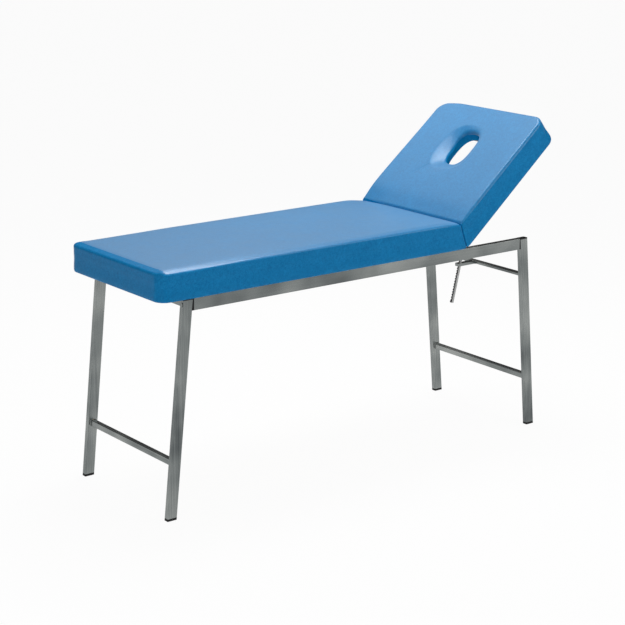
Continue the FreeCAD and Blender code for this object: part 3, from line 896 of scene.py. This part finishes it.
askew = np.random.default_rng(7)
askew_by = 0.18
staple_count = 12
staple_length = 0.010
staple_wire = 0.0005
staple_lift = 0.0001
seat_end_inset = 0.0135
backrest_end_inset = 0.0155
side_row_across = 0.2565
end_places = np.linspace(-0.215, 0.215, staple_count)
seat_middles = staple_row(seat_end_inset - seat_length, end_places)
seat_turns = math.pi / 2 + askew.normal(0.0, askew_by, staple_count)
seat_staples = grid_piece("seat_staples",
                          wire_staples(seat_middles, seat_turns, staple_length, staple_wire))
settle(seat_staples, bolt_plating, "frame")

side_places = np.linspace(0.085, 0.50, staple_count)
back_rows = [staple_row(side_places, side * side_row_across) for side in sides.values()]
back_rows.append(staple_row(backrest_length - backrest_end_inset, end_places))
row_turns = np.repeat([0.0, 0.0, math.pi / 2], staple_count)
back_turns = row_turns + askew.normal(0.0, askew_by, len(row_turns))
flat_staples = wire_staples(np.concatenate(back_rows), back_turns, staple_length, staple_wire)
backrest_staples = grid_piece("backrest_staples", raised_points(flat_staples))
settle(backrest_staples, bolt_plating, "backrest")

# Rack and clevis: a bar of bright steel with sawn teeth, hung on a pin in a pressed clevis that
# four screws hold to the middle slat. Its toothed front is painted near black as shade in the notches.
slot_along = 0.217
slot_height = 0.577
rack_pivot = joint_place("rack_swing")
rack_lean = math.atan2(rack_pivot[0] - (hinge[0] + slot_along), rack_pivot[2] - slot_height)


def bright_bar(name):
    """Drawn steel bar: fine lines along the bar, a brown bloom in patches, and painted shade, near
    black, on the toothed front, which lies ahead of the bar's middle line."""
    material, tree, shader, place = new_finish(name, 0.3, metallic=0.92)
    lines = clouds(tree, stretched(tree, place, (240.0, 600.0, 14.0)), 1.0, 4.0, 0.6)
    bloom = spread(tree, clouds(tree, place, 55.0, 4.0), 0.56, 0.72, 0.0, 0.5)
    steel = colours(tree, lines, [(0.3, (0.32, 0.325, 0.32)), (0.7, (0.58, 0.585, 0.58))])
    bloomed = tinted(tree, steel, (0.10, 0.075, 0.055), bloom)
    across = tree.nodes.new("ShaderNodeVectorMath")
    across.operation = "DOT_PRODUCT"
    across.inputs[1].default_value = (math.cos(rack_lean), 0.0, -math.sin(rack_lean))
    tree.links.new(place, across.inputs[0])
    middle = rack_pivot[0] * math.cos(rack_lean) - rack_pivot[2] * math.sin(rack_lean)
    # Painted shade: the band over the teeth, ahead of the middle line, is tinted near black as the
    # notches' shadow.
    shade_full_from, shade_none_from = 0.0048, 0.0032
    painted_notch_shade = spread(tree, across.outputs["Value"], middle - shade_full_from, middle - shade_none_from, 0.95, 0.0)
    tree.links.new(tinted(tree, bloomed, (0.012, 0.012, 0.013), painted_notch_shade), shader.inputs["Base Color"])
    tree.links.new(spread(tree, lines, 0.3, 0.7, 0.28, 0.44), shader.inputs["Roughness"])
    embossed(tree, shader, lines, 0.15, 0.0002)
    return material


dress(["rack"], bright_bar("bright_bar_steel"))
dress(["rack_clevis", "rack_pin"], bolt_plating)
clevis_past_hole = 0.019
slat_thickness = 0.012
clevis_plate = 0.003
clevis_screw_along = 0.0095
clevis_screw_across = 0.0112
clevis_middle = hinge[0] + hole_middle + hole_half_length + clevis_past_hole
clevis_underside = hinge[2] + panel_underside - slat_thickness - clevis_plate
clevis_screw = screw_head(0.0024, 0.0014)
clevis_screws = []
for end in ends.values():
    for side in sides.values():
        middle = (clevis_middle + end * clevis_screw_along, side * clevis_screw_across, clevis_underside)
        clevis_screws.append(raised_points(set_on(clevis_screw, middle, -along_z)))
rack_screws = grid_piece("clevis_screws", clevis_screws)
settle(rack_screws, bolt_plating, "backrest")

# Studio: a plain white floor that keeps the table's soft shadow, a dim surround that only the
# camera sees as white, and large soft lamps above, behind and in front.
floor_reach = 150.0
floor_glow = 0.95
floor_line = np.linspace(-floor_reach, floor_reach, 3)
floor_grid = np.stack(np.meshgrid(floor_line, floor_line, [0.0], indexing="ij"), -1).reshape(1, 3, 3, 3)
floor = grid_piece("floor", floor_grid, wrap_columns=False)


def white_floor(name):
    """White paper: it scatters the lamps' light, and shows itself near white to the camera and
    in reflections."""
    material = bpy.data.materials.new(name)
    material.use_nodes = True
    tree = material.node_tree
    tree.nodes.clear()
    output = tree.nodes.new("ShaderNodeOutputMaterial")
    paper = tree.nodes.new("ShaderNodeBsdfDiffuse")
    paper.inputs["Color"].default_value = (0.90, 0.90, 0.90, 1.0)
    glow = tree.nodes.new("ShaderNodeEmission")
    glow.inputs["Strength"].default_value = 1.0
    ray = tree.nodes.new("ShaderNodeLightPath")
    seen = sum_of(tree, ray.outputs["Is Camera Ray"], ray.outputs["Is Glossy Ray"], "MAXIMUM")
    seen = sum_of(tree, seen, ray.outputs["Is Transmission Ray"], "MAXIMUM")
    share = sum_of(tree, seen, floor_glow, "MULTIPLY")
    mix = tree.nodes.new("ShaderNodeMixShader")
    tree.links.new(share, mix.inputs["Fac"])
    tree.links.new(paper.outputs["BSDF"], mix.inputs[1])
    tree.links.new(glow.outputs["Emission"], mix.inputs[2])
    tree.links.new(mix.outputs["Shader"], output.inputs["Surface"])
    return material


floor.data.materials.append(white_floor("white_paper"))

world = bpy.data.worlds.new("studio")
bpy.context.scene.world = world
world.use_nodes = True
sky = world.node_tree
background = sky.nodes["Background"]
direction = sky.nodes.new("ShaderNodeTexCoord").outputs["Generated"]
upward = height_above_floor(sky, direction)
surround = colours(sky, spread(sky, upward, 0.0, 1.0, 0.0, 1.0),
                   [(0.0, (0.05, 0.05, 0.05)), (0.42, (0.10, 0.10, 0.10)),
                    (0.72, (0.32, 0.32, 0.32)), (1.0, (0.42, 0.42, 0.42))])
sky.links.new(surround, background.inputs["Color"])
background.inputs["Strength"].default_value = 1.0
backdrop = sky.nodes.new("ShaderNodeBackground")
backdrop.inputs["Color"].default_value = (0.97, 0.97, 0.97, 1.0)
seen_sky = sky.nodes.new("ShaderNodeMixShader")
sky.links.new(sky.nodes.new("ShaderNodeLightPath").outputs["Is Camera Ray"], seen_sky.inputs["Fac"])
sky.links.new(background.outputs["Background"], seen_sky.inputs[1])
sky.links.new(backdrop.outputs["Background"], seen_sky.inputs[2])
sky.links.new(seen_sky.outputs["Shader"], sky.nodes["World Output"].inputs["Surface"])


def placed(axis_x, axis_y, axis_z, place):
    """The matrix that turns an object to three axes and sets it at a place."""
    rows = np.stack([axis_x, axis_y, axis_z, place], 1)
    return Matrix([*rows.tolist(), [0.0, 0.0, 0.0, 1.0]])


def soft_lamp(name, place, target, wide, high, power):
    """A panel lamp turned to a point."""
    data = bpy.data.lights.new(name, "AREA")
    data.shape = "RECTANGLE"
    data.size = wide
    data.size_y = high
    data.energy = power
    lamp = bpy.data.objects.new(name, data)
    lamp.visible_camera = False
    bpy.context.scene.collection.objects.link(lamp)
    away = np.array(place) - np.array(target)
    away = away / np.linalg.norm(away)
    sideways = np.cross(along_z, away)
    sideways = sideways / np.linalg.norm(sideways)
    lamp.matrix_world = placed(sideways, np.cross(away, sideways), away, place)


soft_lamp("lamp_above", (0.40, 0.55, 3.4), (-0.40, 0.35, 0.8), 1.2, 1.8, 63.0)
soft_lamp("lamp_behind", (0.55, 1.52, 2.52), (0.6, 0.0, 1.0), 1.3, 1.1, 6.0)
soft_lamp("lamp_low", (1.13, 2.06, 1.80), (0.0, 0.0, 0.82), 2.05, 1.2, 2.8)
soft_lamp("lamp_front", (-3.0, -2.1, 1.7), (-0.3, 0.0, 0.75), 2.4, 2.0, 29.0)
soft_lamp("lamp_right", (1.7, -2.4, 1.8), (0.5, 0.0, 0.85), 2.0, 1.6, 26.0)

# Camera: a long lens from the foot end's near side, a little above the table.
azimuth = math.radians(-38.106)
elevation = math.radians(15.278)
roll = math.radians(0.493)
back = np.array([math.sin(azimuth) * math.cos(elevation), -math.cos(azimuth) * math.cos(elevation),
                 math.sin(elevation)])
right = np.array([math.cos(azimuth), math.sin(azimuth), 0.0])
up = np.cross(back, right)
eye = np.array([-3.6092, -4.5480, 2.0820])
camera_x = math.cos(roll) * right + math.sin(roll) * up
camera_y = -math.sin(roll) * right + math.cos(roll) * up
lens = bpy.data.cameras.new("camera")
lens.sensor_width = 36.0
lens.lens = 99.47
camera = bpy.data.objects.new("camera", lens)
bpy.context.scene.collection.objects.link(camera)
camera.matrix_world = placed(camera_x, camera_y, back, eye)
bpy.context.scene.camera = camera
bpy.context.scene.view_settings.view_transform = "Standard"
